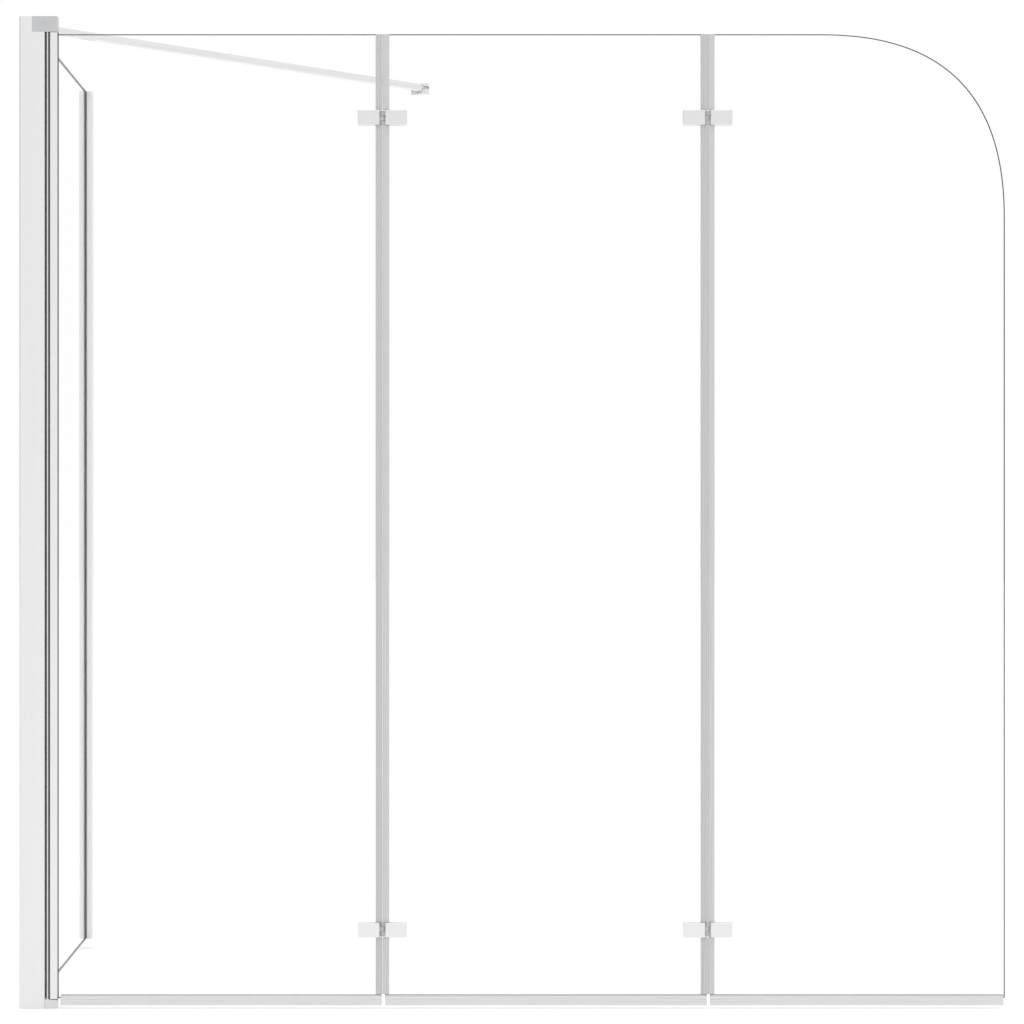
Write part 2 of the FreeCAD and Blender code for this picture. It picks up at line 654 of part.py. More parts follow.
def leaf_glass():
    """The three folding glasses. The last has a curved upper corner on its free edge."""
    front = f"{ROW_Y} - {GLASS_HALF}"
    first_left = f"({PROFILE_LEFT} + glass_setting)"
    first = box("first_blank", f"{FOLD_X['first']} - edge_gap / 2 - {first_left}", "glass_gauge",
                "glass_height + leaf_drop", first_left, front, "0 - leaf_drop")
    second = box("second_blank", "second_pitch - edge_gap", "glass_gauge", "glass_height + leaf_drop",
                 f"{FOLD_X['first']} + edge_gap / 2", front, "0 - leaf_drop")
    wide = value("third_reach - edge_gap / 2")
    tall = value("glass_height + leaf_drop")
    lead = value("corner_lead")
    corner = FreeCAD.Vector(wide, 0, tall)
    curve = Part.BezierCurve()
    curve.setPoles([corner - FreeCAD.Vector(0, 0, lead), corner, corner - FreeCAD.Vector(lead, 0, 0)])
    points = [FreeCAD.Vector(wide - lead, 0, tall), FreeCAD.Vector(0, 0, tall), FreeCAD.Vector(0, 0, 0),
              FreeCAD.Vector(wide, 0, 0), FreeCAD.Vector(wide, 0, tall - lead)]
    edges = [Part.makeLine(a, b) for a, b in zip(points, points[1:])]
    outline = Part.Wire(edges + [curve.toShape()])
    third = doc.addObject("Part::Feature", "third_blank")
    third.Shape = Part.Face(outline).extrude(FreeCAD.Vector(0, value("glass_gauge"), 0))
    place(third, f"{FOLD_X['second']} + edge_gap / 2", front, "0 - leaf_drop")
    return [
        notch_glass("first_glass", first, [("first", -1)]),
        notch_glass("second_glass", second, [("first", 1), ("second", -1)]),
        notch_glass("third_glass", third, [("second", 1)]),
    ]


def front_plate(fold, level, side, sign):
    """The outer plate of a clamp, plain on the front, with a blind threaded hole behind."""
    plate = body(f"{fold}_{level}_{side}_front_plate", FOLD_X[fold], f"{ROW_Y} - {PAD_FACE}", LEVELS[level])
    oblong(sketch(plate, "XZ_Plane"), f"({sign}) * clamp_gap / 2", f"({sign}) * {CLAMP_END}",
           "0 - clamp_height / 2", "clamp_height / 2")
    pad(plate.Group[-1], "front_gauge")
    middle = f"({sign}) * {CLAMP_MIDDLE}"
    face = "0 - front_gauge"
    edges = [(middle, face, "clamp_height / 2"), (middle, face, "0 - clamp_height / 2"),
             (f"({sign}) * clamp_gap / 2", face, "0"), (f"({sign}) * {CLAMP_END}", face, "0")]
    dress("Chamfer", plate, "clamp_bevel", edges)
    pocket(circle(sketch(plate, "XZ_Plane"), middle, "0", "clamp_shank + 2 * running_fit"), "2 * clamp_grip")
    return plate


def back_plate(fold, level, side, sign):
    """The inner plate of a clamp with its share of the hinge barrel: the middle for near, the ends for far."""
    name = f"{fold}_{level}_{side}_back_plate"
    place_at = (FOLD_X[fold], f"{ROW_Y} + {PAD_FACE}", LEVELS[level])
    cast = body(name + "_casting", *place_at)
    start = f"({sign}) * back_gap / 2"
    middle = f"(({sign}) * ({CLAMP_END} + back_gap / 2) / 2)"
    plan = sketch(cast, "XZ_Plane")
    oblong(plan, start, f"({sign}) * {CLAMP_END}", "0 - clamp_height / 2", "clamp_height / 2")
    pad(plan, "back_gauge", back=True)
    edges = [(middle, "back_gauge", "clamp_height / 2"), (middle, "back_gauge", "0 - clamp_height / 2"),
             (f"({sign}) * {CLAMP_END}", "back_gauge", "0")]
    dress("Chamfer", cast, "clamp_bevel", edges)
    axis_y = f"(fold_offset - {PAD_FACE})"
    long = "barrel_middle" if side == "near" else "clamp_height"
    web = sketch(cast)
    oblong(web, "0", f"{start} + ({sign}) * overrun", f"{axis_y} - barrel_diameter / 2 + barrel_play",
           "back_gauge - clamp_bevel")
    pad(web, long, side="Symmetric")
    pad(circle(sketch(cast), "0", axis_y, "barrel_diameter"), long, side="Symmetric")
    if side == "far":
        room = "(barrel_diameter / 2 + barrel_play)"
        pocket(oblong(sketch(cast), f"0 - {room}", room, f"{axis_y} - {room}", f"{axis_y} + {room}"),
               "barrel_middle + 2 * barrel_play")
    pocket(circle(sketch(cast), "0", axis_y, "fold_pin + 2 * running_fit"), "clamp_height + overrun")
    hole = sink(name + "_hole", "clamp_head", "clamp_sink", "clamp_shank", "back_gauge + overrun")
    place(tilt(hole, (1, 0, 0), 90), f"{FOLD_X[fold]} + ({sign}) * {CLAMP_MIDDLE}",
          f"{ROW_Y} + {PAD_FACE} + back_gauge", LEVELS[level])
    return cut(name, cast, hole)


def clamp_pads(fold, side, sign):
    """Thin pads that keep a clamp's plates off the glass, two at each height."""
    pads = []
    wide = f"{CLAMP_END} - back_gap / 2"
    left = "back_gap / 2" if sign > 0 else f"0 - {CLAMP_END}"
    for level, height in LEVELS.items():
        for face, start in (("front", f"0 - {PAD_FACE}"), ("back", GLASS_HALF)):
            name = f"{fold}_{side}_{level}_{face}_pad"
            sheet_pad = box(name + "_blank", wide, "pad_gauge", "clamp_height", f"{FOLD_X[fold]} + {left}",
                            f"{ROW_Y} + {start}", f"{height} - clamp_height / 2")
            pads.append(cut(name, sheet_pad, screw_notch(name + "_notch", fold, sign, start, "pad_gauge", height)))
    return group(f"{fold}_{side}_pads", *pads)


def clamp_screws(fold, side, sign):
    """The screws that draw a clamp's plates together, one at each height."""
    screws = []
    for level, height in LEVELS.items():
        screw = cap_screw(f"{fold}_{side}_{level}_screw", "clamp_head", "clamp_sink", "clamp_shank",
                          f"back_gauge + 2 * {PAD_FACE} + clamp_grip - running_fit")
        place(tilt(screw, (1, 0, 0), 90), f"{FOLD_X[fold]} + ({sign}) * {CLAMP_MIDDLE}",
              f"{ROW_Y} + {PAD_FACE} + back_gauge", height)
        screws.append(screw)
    return group(f"{fold}_{side}_screws", *screws)


def fold_pins(fold):
    pins = [rod(f"{fold}_{level}_pin", "fold_pin", "clamp_height", FOLD_X[fold], f"{ROW_Y} + fold_offset",
                f"{height} - clamp_height / 2") for level, height in LEVELS.items()]
    return group(f"{fold}_fold_pins", *pins)


def upright_seal(fold, side, sign):
    """A soft clip with a hollow nose on the edge of a glass, cut away round the clamps."""
    name = f"{fold}_{side}_seal"
    foot = "(drip_leg - leaf_drop + seal_notch)"
    strip = body(name + "_strip", FOLD_X[fold], ROW_Y, foot)
    skin = f"({GLASS_HALF} + seal_gauge)"
    edge = "edge_gap / 2"
    front = [("seal_parting", f"0 - ({skin} - seal_nose)"), ("seal_parting + seal_nose", f"0 - {skin}"),
             ("seal_reach", f"0 - {skin}"), ("seal_reach", f"0 - {GLASS_HALF}"), (edge, f"0 - {GLASS_HALF}")]
    rear = [(across, back.replace("0 - ", "")) for across, back in reversed(front)]
    section = loop(sketch(strip), [(f"({sign}) * ({across})", back) for across, back in front + rear])
    oblong(section, f"({sign}) * (seal_parting + bulb_wall)", f"({sign}) * ({edge} - bulb_wall)",
           f"0 - {GLASS_HALF} + bulb_wall / 2", f"{GLASS_HALF} - bulb_wall / 2")
    pad(section, f"glass_height - {foot}")
    notches = [box(f"{name}_{level}_notch", "2 * seal_reach + 2 * overrun", f"2 * {skin} + 2 * overrun",
                   "clamp_height + 2 * seal_notch", f"{FOLD_X[fold]} - seal_reach - overrun",
                   f"{ROW_Y} - {skin} - overrun", f"{height} - clamp_height / 2 - seal_notch")
               for level, height in LEVELS.items()]
    return cut(name, strip, *notches)


def drip_seal(name, start, end):
    """A soft clip on the foot of a glass with two fins that spread towards the rim."""
    strip = body(name, start, ROW_Y, "0 - leaf_drop")
    skin = f"({GLASS_HALF} + drip_gauge)"
    tip = "0 - drip_floor - fin_drop"
    right = [(GLASS_HALF, "0"), (GLASS_HALF, "drip_leg"), (skin, "drip_leg"), (skin, "0 - drip_floor"),
             (f"{skin} + fin_spread", tip), (f"{skin} + fin_spread - fin_gauge", tip),
             (f"{skin} - fin_gauge", "0 - drip_floor")]
    left = [(f"0 - ({across})", up) for across, up in reversed(right)]
    pad(loop(sketch(strip, "YZ_Plane"), right + left), f"{end} - {start}")
    return strip


subparts = [corner_post(), post_cap(), foot_block(), post_screws(), post_plugs(), *pivot_pins(), thrust_washer()]
subparts += [post_seal(), *side_panel(), wall_channel(), *stay(), *wall_bracket()]
subparts += [pivot_profile(), pivot_gasket(), *leaf_glass()]
for fold in FOLD_X:
    for side, sign in SIDES.items():
        for level in LEVELS:
            subparts.append(front_plate(fold, level, side, sign))
        backs = [back_plate(fold, level, side, sign) for level in LEVELS]
        subparts.append(group(f"{fold}_{side}_back_plates", *backs))
        subparts += [clamp_pads(fold, side, sign), clamp_screws(fold, side, sign)]
        subparts.append(upright_seal(fold, side, sign))
    subparts.append(fold_pins(fold))
for name, start, end in (
    ("first_drip_seal", f"({CAP_RIGHT} + drip_start)", f"({FOLD_X['first']} - drip_near)"),
    ("second_drip_seal", f"({FOLD_X['first']} + drip_far)", f"({FOLD_X['second']} - drip_near)"),
    ("third_drip_seal", f"({FOLD_X['second']} + drip_far)", f"({FREE_EDGE} - drip_end)"),
):
    subparts.append(drip_seal(name, start, end))

doc.recompute()
for thing in doc.Objects:
    if "Invalid" in thing.State or "Error" in thing.State:
        raise RuntimeError(f"{thing.Label} did not build: {thing.State}")
os.makedirs("parts", exist_ok=True)
for part in subparts:
    if part.Shape.isNull() or not part.Shape.isValid() or not part.Shape.Solids:
        raise RuntimeError(f"{part.Label} has no valid solid")
for part in subparts:
    part.Shape.exportStep(os.path.join("parts", part.Label + ".step"))
    print(part.Label, len(part.Shape.Solids), round(part.Shape.Volume))
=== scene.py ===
import math

import bmesh
import bpy
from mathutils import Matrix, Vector


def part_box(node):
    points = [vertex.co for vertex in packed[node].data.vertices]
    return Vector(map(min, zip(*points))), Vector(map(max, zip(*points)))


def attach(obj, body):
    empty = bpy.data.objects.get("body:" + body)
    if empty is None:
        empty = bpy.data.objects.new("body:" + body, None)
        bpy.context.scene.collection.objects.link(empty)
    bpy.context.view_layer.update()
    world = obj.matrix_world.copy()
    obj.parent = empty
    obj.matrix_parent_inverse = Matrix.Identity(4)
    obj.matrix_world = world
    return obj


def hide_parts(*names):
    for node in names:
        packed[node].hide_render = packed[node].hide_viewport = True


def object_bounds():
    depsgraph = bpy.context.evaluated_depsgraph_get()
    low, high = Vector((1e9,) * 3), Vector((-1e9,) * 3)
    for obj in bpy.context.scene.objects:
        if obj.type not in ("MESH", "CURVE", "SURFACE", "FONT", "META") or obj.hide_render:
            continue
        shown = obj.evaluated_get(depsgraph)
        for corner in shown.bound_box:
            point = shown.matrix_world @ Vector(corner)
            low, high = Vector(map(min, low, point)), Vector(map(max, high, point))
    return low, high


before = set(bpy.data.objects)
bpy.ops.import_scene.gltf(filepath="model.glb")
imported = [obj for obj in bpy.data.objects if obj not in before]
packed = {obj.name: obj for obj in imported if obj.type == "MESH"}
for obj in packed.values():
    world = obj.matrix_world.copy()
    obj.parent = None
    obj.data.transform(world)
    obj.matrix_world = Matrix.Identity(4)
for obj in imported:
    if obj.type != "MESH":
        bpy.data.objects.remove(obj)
cad_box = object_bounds()

# Corner post: one aluminium extrusion, bright anodised, cut to length with a fine draw grain along it. Its
# slot takes the side pane and its chambers take the cap and the foot block.

GRAIN_FINENESS = 1400
GRAIN_LENGTH = 5
SAME_POINT = 1e-6
FLAT_DEGREES = 1
HARD_DEGREES = 42
FACE_WEIGHT = 100
POST_ROUND = 0.00025


def feed(tree, node, givens):
    """Gives a node's inputs their values, or links them to the outputs of other nodes."""
    for entry, given in givens.items():
        if isinstance(given, bpy.types.NodeSocket):
            tree.links.new(given, node.inputs[entry])
        else:
            node.inputs[entry].default_value = given
    return node


def new_node(tree, kind, givens):
    """A new shader node of one kind, with its inputs fed."""
    return feed(tree, tree.nodes.new(f"ShaderNode{kind}"), givens)


def new_finish(name):
    """A new material, its node tree and its main shader."""
    finish = bpy.data.materials.new(name)
    finish.use_nodes = True
    tree = finish.node_tree
    return finish, tree, tree.nodes["Principled BSDF"]


def own_place(tree):
    """The place of a point on its own piece, which stays the same while the piece moves."""
    return new_node(tree, "TexCoord", {}).outputs["Object"]


def patches(tree, fineness, detail=2.0, place=None):
    """Soft random patches, with one fineness all round or one along each axis."""
    if place is None:
        place = own_place(tree)
    if isinstance(fineness, tuple):
        place = new_node(tree, "Mapping", {"Vector": place, "Scale": fineness}).outputs["Vector"]
        fineness = 1.0
    return new_node(tree, "TexNoise", {"Vector": place, "Scale": fineness, "Detail": detail}).outputs["Fac"]


def dimmed(colour, share):
    """A colour with only a share of its light."""
    return [value * share for value in colour]


def graded(tree, amount, dark, pale, low=0.0, high=1.0):
    """A colour that goes from dark to pale while an amount goes from low to high."""
    ramp = new_node(tree, "ValToRGB", {"Fac": amount})
    for stop, level, colour in zip(ramp.color_ramp.elements, (low, high), (dark, pale)):
        stop.position = level
        stop.color = (*colour, 1)
    return ramp.outputs["Color"]


def ranged(tree, amount, least, most, low=0.0, high=1.0):
    """A number that goes from least to most while an amount goes from low to high."""
    givens = {"Value": amount, "From Min": low, "From Max": high, "To Min": least, "To Max": most}
    return new_node(tree, "MapRange", givens).outputs["Result"]


def uneven(tree, height, strength, depth):
    """The normals of a surface that a height makes uneven."""
    givens = {"Height": height, "Strength": strength, "Distance": depth}
    return new_node(tree, "Bump", givens).outputs["Normal"]


def drawn_aluminium(name, pale, dark, roughness, turn=0.0):
    """Bright anodised aluminium with its draw grain along Z, or level and turned about Z by an angle."""
    finish, tree, metal = new_finish(name)
    level = new_node(tree, "Mapping", {"Vector": own_place(tree), "Rotation": (0.0, 0.0, -turn)})
    if turn:
        fineness = (GRAIN_LENGTH, GRAIN_FINENESS, GRAIN_FINENESS)
    else:
        fineness = (GRAIN_FINENESS, GRAIN_FINENESS, GRAIN_LENGTH)
    grain = patches(tree, fineness, 3.0, level.outputs["Vector"])
    feed(tree, metal, {
        "Metallic": 1.0,
        "IOR": 1.6,
        "Base Color": graded(tree, grain, dark, pale, 0.35, 0.65),
        "Roughness": ranged(tree, grain, roughness - 0.05, roughness + 0.06),
        "Normal": uneven(tree, grain, 0.08, 0.0002),
    })
    return finish


def finish_node(node, finish, width, steps=2):
    """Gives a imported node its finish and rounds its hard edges, with its flat faces merged to stay flat."""
    body = packed[node]
    body.data.materials.clear()
    body.data.materials.append(finish)
    weld = body.modifiers.new("weld", "WELD")
    weld.merge_threshold = SAME_POINT
    flats = body.modifiers.new("flats", "DECIMATE")
    flats.decimate_type = "DISSOLVE"
    flats.angle_limit = math.radians(FLAT_DEGREES)
    edges = body.modifiers.new("soft_edges", "BEVEL")
    edges.width = width
    edges.segments = steps
    edges.limit_method = "ANGLE"
    edges.angle_limit = math.radians(HARD_DEGREES)
    shading = body.modifiers.new("shading", "WEIGHTED_NORMAL")
    shading.weight = FACE_WEIGHT


post_aluminium = drawn_aluminium("post_aluminium", (0.785, 0.785, 0.79), (0.77, 0.77, 0.775), 0.34)
finish_node("corner_post", post_aluminium, POST_ROUND)

# Cap and foot block: zinc castings with a satin plate, a little darker than the post. The cap sits in the
# post's notch and the foot block in its foot, each drawn up by one screw into the post's port.

CAST_ROUND = 0.0003


def satin_casting(name, colour, roughness, metallic=0.85):
    """Satin plated zinc with a faint cast mottle and a fine pebbled skin."""
    finish, tree, metal = new_finish(name)
    mottle = patches(tree, 60.0, 4.0)
    feed(tree, metal, {
        "Metallic": metallic,
        "Base Color": graded(tree, mottle, dimmed(colour, 0.93), colour, 0.3, 0.7),
        "Roughness": ranged(tree, mottle, roughness - 0.06, roughness + 0.08),
        "Normal": uneven(tree, patches(tree, 2600.0), 0.12, 0.0001),
    })
    return finish


finish_node("post_cap", satin_casting("cap_zinc", (0.56, 0.57, 0.58), 0.38), CAST_ROUND)
finish_node("foot_block", satin_casting("foot_zinc", (0.69, 0.69, 0.695), 0.36), CAST_ROUND)

# Plugs and thrust washer: nylon mouldings. The grey plugs push into the post's open chambers beside the
# cap, and the pale washer takes the first leaf's weight on the foot block.

MOULDED_ROUND = 0.0002


def moulded_nylon(name, colour):
    """Nylon with a soft gloss and a fine moulded texture."""
    finish, tree, plastic = new_finish(name)
    feed(tree, plastic, {
        "Roughness": 0.48,
        "Base Color": graded(tree, patches(tree, 90.0), dimmed(colour, 0.9), colour),
        "Normal": uneven(tree, patches(tree, 1800.0), 0.1, 0.0001),
    })
    return finish


finish_node("post_plugs", moulded_nylon("grey_nylon", (0.5, 0.51, 0.52)), MOULDED_ROUND)
finish_node("thrust_washer", moulded_nylon("pale_nylon", (0.84, 0.85, 0.85)), MOULDED_ROUND)

# Screws, pivot pins and grub screw: stainless steel, turned, with fine tool rings round each shank. The
# same steel serves for the clamps' screws and for the pins that the panes fold on.

RINGS = (120.0, 120.0, 3000.0)
TURNED_ROUND = 0.0003


def turned_steel(name, colour, roughness):
    """Stainless steel with faint turning rings across Z."""
    finish, tree, metal = new_finish(name)
    rings = patches(tree, RINGS)
    feed(tree, metal, {
        "Metallic": 1.0,
        "Base Color": graded(tree, rings, dimmed(colour, 0.85), colour),
        "Roughness": ranged(tree, rings, roughness - 0.06, roughness + 0.1),
    })
    return finish


pin_steel = turned_steel("turned_stainless", (0.66, 0.66, 0.67), 0.26)
for node in ("post_screws", "upper_pivot_pin", "lower_pivot_pin", "stay_grub", "stay_pin"):
    finish_node(node, pin_steel, TURNED_ROUND)

# Rubber sections: the grey fin that closes the gap behind the pivot, and the black beds of the side pane
# and the first pane. Each is one extruded strip of soft rubber with rounded lips, pushed into its slot.

EXTRUSION_LINES = (900.0, 900.0, 30.0)
LIP_STEPS = 4
SMOOTH_DEGREES = 32
FIN_LIP = 0.0003
FIN_ROOT = 0.0021
FIN_STEM = 0.0011
FIN_NECK = 0.002
NECK_FRONT = 0.0005
NECK_BACK = 0.0008
BED_LIP = 0.0005
LEG_WALL = 0.0015
X_AXIS = 0
Y_AXIS = 1
POST_BED_FLOOR = 0.0035
PANE_BED_FLOOR = 0.0016


def soft_rubber(name, colour):
    """Dull rubber with a dusty bloom and fine extrusion lines."""
    finish, tree, rubber = new_finish(name)
    bloom = patches(tree, EXTRUSION_LINES)
    feed(tree, rubber, {
        "Roughness": 0.72,
        "Base Color": graded(tree, bloom, dimmed(colour, 0.75), colour),
        "Normal": uneven(tree, bloom, 0.2, 0.0001),
    })
    return finish


def arc(across, up, radius, start, end, steps=LIP_STEPS):
    """Points round a centre, from one angle to another in degrees."""
    turns = [math.radians(start + (end - start) * step / steps) for step in range(steps + 1)]
    return [(across + radius * math.cos(turn), up + radius * math.sin(turn)) for turn in turns]


def placed(name, data):
    """A new object of the scene that shows a mesh, a light or a camera."""
    thing = bpy.data.objects.new(name, data)
    bpy.context.scene.collection.objects.link(thing)
    return thing


def meshed(name, mesh):
    """A new object made of a finished working mesh."""
    data = bpy.data.meshes.new(name)
    mesh.to_mesh(data)
    mesh.free()
    return placed(name, data)


def upright(a, b, up):
    """Lays a section's point in a strip that stands upright."""
    return a, b, up


def extruded(name, loops, stretches, lay=upright):
    """A strip of one section, made of an outline and its holes, along one or more stretches of its length."""
    mesh = bmesh.new()
    for stretch in stretches:
        ends = [[[mesh.verts.new(lay(a, b, along)) for a, b in loop] for loop in loops] for along in stretch]
        for rings in ends:
            edges = [mesh.edges.new((ring[i - 1], ring[i])) for ring in rings for i in range(len(ring))]
            bmesh.ops.triangle_fill(mesh, edges=edges, use_beauty=True)
        for first, last in zip(*ends):
            for i in range(len(first)):
                mesh.faces.new((first[i - 1], first[i], last[i], last[i - 1]))
    bmesh.ops.recalc_face_normals(mesh, faces=mesh.faces)
    strip = meshed(name, mesh)
    strip.data.shade_smooth()
    strip.data.set_sharp_from_angle(angle=math.radians(SMOOTH_DEGREES))
    return strip


def dressed(piece, finish, node, body):
    """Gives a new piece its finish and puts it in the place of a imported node."""
    piece.data.materials.append(finish)
    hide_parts(node)
    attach(piece, body)


def middle_of(node):
    """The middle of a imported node's box."""
    low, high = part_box(node)
    return (low + high) / 2


def fin_section(low, high):
    """The outline of the fin: a stem for the post's slot, a flange and a lip that leans back."""
    middle = (low.y + high.y) / 2
    root = low.x + FIN_ROOT
    neck = root + FIN_NECK
    return [
        (low.x, middle - FIN_STEM),
        (root, middle - FIN_STEM),
        (root, low.y + FIN_LIP),
        (root + FIN_LIP, low.y),
        (root + 3 * FIN_LIP, low.y + FIN_LIP),
        (neck, middle - NECK_FRONT),
        (high.x - FIN_LIP, middle + FIN_STEM),
        (high.x, middle + FIN_STEM + FIN_LIP),
        (high.x, middle + 2 * FIN_STEM - FIN_LIP),
        (high.x - FIN_LIP, middle + 2 * FIN_STEM),
        (neck, middle + NECK_BACK),
        (root + 3 * FIN_LIP, high.y - FIN_LIP),
        (root + FIN_LIP, high.y),
        (root, high.y - FIN_LIP),
        (root, middle + FIN_STEM),
        (low.x, middle + FIN_STEM),
    ]


def bed_section(half, deep, floor):
    """The section of a rubber bed, from the bottom of its slot up to two rounded lips."""
    right = [
        (half, 0),
        *arc(half - BED_LIP, deep - BED_LIP, BED_LIP, 0, 90),
        *arc(half - LEG_WALL + BED_LIP, deep - BED_LIP, BED_LIP, 90, 180),
        (half - LEG_WALL, floor),
    ]
    return right + [(-a, b) for a, b in reversed(right)]


def lay_bed(name, node, body, width, depth, floor):
    """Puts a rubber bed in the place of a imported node, given the axes that its width and depth lie along."""
    low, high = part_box(node)
    middle = middle_of(node)

    def lay(a, b, up):
        """Lays the section's point between the sides of the slot, over its bottom."""
        point = Vector((0, 0, up))
        point[width] = middle[width] + a
        point[depth] = low[depth] + b
        return point

    section = bed_section(middle[width] - low[width], high[depth] - low[depth], floor)
    strip = extruded(name, [section], [(low.z, high.z)], lay)
    dressed(strip, bed_rubber, node, body)


bed_rubber = soft_rubber("bed_rubber", (0.035, 0.035, 0.037))
fin_rubber = soft_rubber("fin_rubber", (0.26, 0.26, 0.265))
low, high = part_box("post_seal")
strip = extruded("post_fin", [fin_section(low, high)], [(low.z, high.z)])
dressed(strip, fin_rubber, "post_seal", "frame")
lay_bed("post_bed", "post_gasket", "frame", X_AXIS, Y_AXIS, POST_BED_FLOOR)
lay_bed("pane_bed", "pivot_gasket", "first_leaf", Y_AXIS, X_AXIS, PANE_BED_FLOOR)

# Side pane: 4 mm clear toughened glass with ground edges, fixed between the post and the wall channel.
# The ground edge is finely frosted, so it shows as a soft grey line round the clear sheet.

SIDE_ARRIS = 0.0013
MOST_SHEEN = 0.15


def worked_out(tree, operation, *givens):
    """The result of a maths node on numbers or on the outputs of other nodes."""
    step = tree.nodes.new("ShaderNodeMath")
    step.operation = operation
    return feed(tree, step, dict(enumerate(givens))).outputs["Value"]


def clear_sheet(name):
    """The clear faces of toughened glass: see-through, with a mirror sheen that grows at a slant."""
    finish, tree, unused = new_finish(name)
    tree.nodes.remove(unused)
    tint = graded(tree, patches(tree, 3.0), (0.997, 0.998, 0.998), (0.999, 1.0, 1.0))
    clear = new_node(tree, "BsdfTransparent", {"Color": tint})
    mirror = new_node(tree, "BsdfGlossy", {"Roughness": 0.02, "Color": (0.97, 0.97, 0.97, 1)})
    slant = new_node(tree, "Fresnel", {"IOR": 1.45}).outputs["Fac"]
    inside = new_node(tree, "NewGeometry", {}).outputs["Backfacing"]
    sheen = worked_out(tree, "MULTIPLY", worked_out(tree, "SUBTRACT", 1.0, inside), slant)
    faint = worked_out(tree, "MINIMUM", sheen, MOST_SHEEN)
    blend = new_node(tree, "MixShader", {"Fac": faint, 1: clear.outputs["BSDF"], 2: mirror.outputs["BSDF"]})
    feed(tree, tree.nodes["Material Output"], {"Surface": blend.outputs["Shader"]})
    return finish


def ground_edge(name, colour):
    """The ground edge of the glass: a frosted grey-green band with a fine grinding grain."""
    finish, tree, edge = new_finish(name)
    tint = graded(tree, patches(tree, 900.0), dimmed(colour, 0.85), colour)
    feed(tree, edge, {"Roughness": 0.45, "Base Color": tint})
    return finish


pane_clear = clear_sheet("pane_clear")
pane_edge = ground_edge("pane_edge", (0.055, 0.062, 0.06))


def largest(faces, count):
    """The few largest of a mesh's faces."""
    return sorted(faces, key=lambda face: face.calc_area())[-count:]


def ground_pane(name, outline, low, high, across, arris, shaded_past=None):
    """A flat pane with ground bevels all round. Past a given depth its faces take the dark edge colour, as
    painted shade.
    """
    mesh = bmesh.new()
    lay = {"X": lambda a, up, t: (t, a, up), "Y": lambda a, up, t: (a, t, up)}[across]
    near = mesh.faces.new([mesh.verts.new(lay(a, up, low)) for a, up in outline])
    grown = bmesh.ops.extrude_face_region(mesh, geom=[near])
    far = [item for item in grown["geom"] if isinstance(item, bmesh.types.BMVert)]
    bmesh.ops.translate(mesh, verts=far, vec=Vector(lay(0, 0, high - low)))
    mesh.faces.ensure_lookup_table()
    bmesh.ops.recalc_face_normals(mesh, faces=mesh.faces)
    rims = {edge for face in largest(mesh.faces, 2) for edge in face.edges}
    bmesh.ops.bevel(mesh, geom=list(rims), offset=arris, segments=1, affect="EDGES")
    sheets = largest(mesh.faces, 2)
    for face in mesh.faces:
        face.material_index = 0 if face in sheets else 1
    if shaded_past is not None:
        everything = mesh.verts[:] + mesh.edges[:] + mesh.faces[:]
        bmesh.ops.bisect_plane(mesh, geom=everything, plane_co=(0, shaded_past, 0), plane_no=(0, 1, 0))
        for face in mesh.faces:
            if face.calc_center_median().y > shaded_past:
                face.material_index = 1
    pane = meshed(name, mesh)
    pane.data.materials.append(pane_clear)
    pane.data.materials.append(pane_edge)
    return pane


low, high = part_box("side_glass")
corners = [(low.y, low.z), (high.y, low.z), (high.y, high.z), (low.y, high.z)]
channel_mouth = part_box("wall_channel")[0].y
# Inside the wall channel the side pane's faces take the dark edge colour: painted shade for the channel seen
# through the glass.
side_pane = ground_pane("side_pane", corners, low.x, high.x, "X", SIDE_ARRIS, channel_mouth)
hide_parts("side_glass")
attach(side_pane, "frame")

# Wall channel: a lipped aluminium extrusion screwed to the wall through its back. The side pane slides
# into it and two clear vinyl strips, rounded at the front, wedge the glass against its lips.

DRAWN_ROUND = 0.0002
STREAKS_UP = (500.0, 500.0, 6.0)
SEEN_THROUGH = 0.1
WEDGE_LIP = 0.0006


def clear_vinyl(name, colour, streaks=STREAKS_UP, depth=0.98):
    """Milky clear vinyl: glossy, a little see-through, with faint streaks along its length."""
    finish, tree, vinyl = new_finish(name)
    streak = patches(tree, streaks)
    feed(tree, vinyl, {
        "Transmission Weight": SEEN_THROUGH,
        "IOR": 1.48,
        "Base Color": graded(tree, streak, dimmed(colour, depth), colour, 0.3, 0.7),
        "Roughness": ranged(tree, streak, 0.24, 0.32),
    })
    return finish


channel_aluminium = drawn_aluminium("channel_aluminium", (0.78, 0.78, 0.785), (0.75, 0.75, 0.755), 0.32)
finish_node("wall_channel", channel_aluminium, DRAWN_ROUND)

low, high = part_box("wall_gaskets")
inner = high.x - LEG_WALL
rounded = high.x - WEDGE_LIP
wedge = [
    (inner, high.y),
    (inner, low.y),
    (rounded, low.y),
    (high.x, low.y + 2 * WEDGE_LIP),
    (high.x, high.y - 2 * WEDGE_LIP),
    (rounded, high.y),
]
both_wedges = [[(side * a, b) for a, b in wedge] for side in (-1, 1)]
wedge_vinyl = clear_vinyl("wedge_vinyl", (0.8, 0.8, 0.81))
strip = extruded("wall_wedges", both_wedges, [(low.z, high.z)])
dressed(strip, wedge_vinyl, "wall_gaskets", "frame")

# Stay: a square aluminium tube drawn along its length, between a stud in the cap and a tongue at the wall.
# Stud and tongue are zinc castings pressed into the tube's ends.

tube_low, tube_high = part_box("stay_bar")
stay_turn = math.atan2(tube_high.y - tube_low.y, tube_high.x - tube_low.x)
stay_aluminium = drawn_aluminium("stay_aluminium", (0.82, 0.82, 0.83), (0.74, 0.74, 0.75), 0.28, stay_turn)
finish_node("stay_bar", stay_aluminium, DRAWN_ROUND)
fitting_zinc = satin_casting("fitting_zinc", (0.66, 0.67, 0.68), 0.3)
for node in ("stay_stud", "stay_tongue"):
    finish_node(node, fitting_zinc, CAST_ROUND)
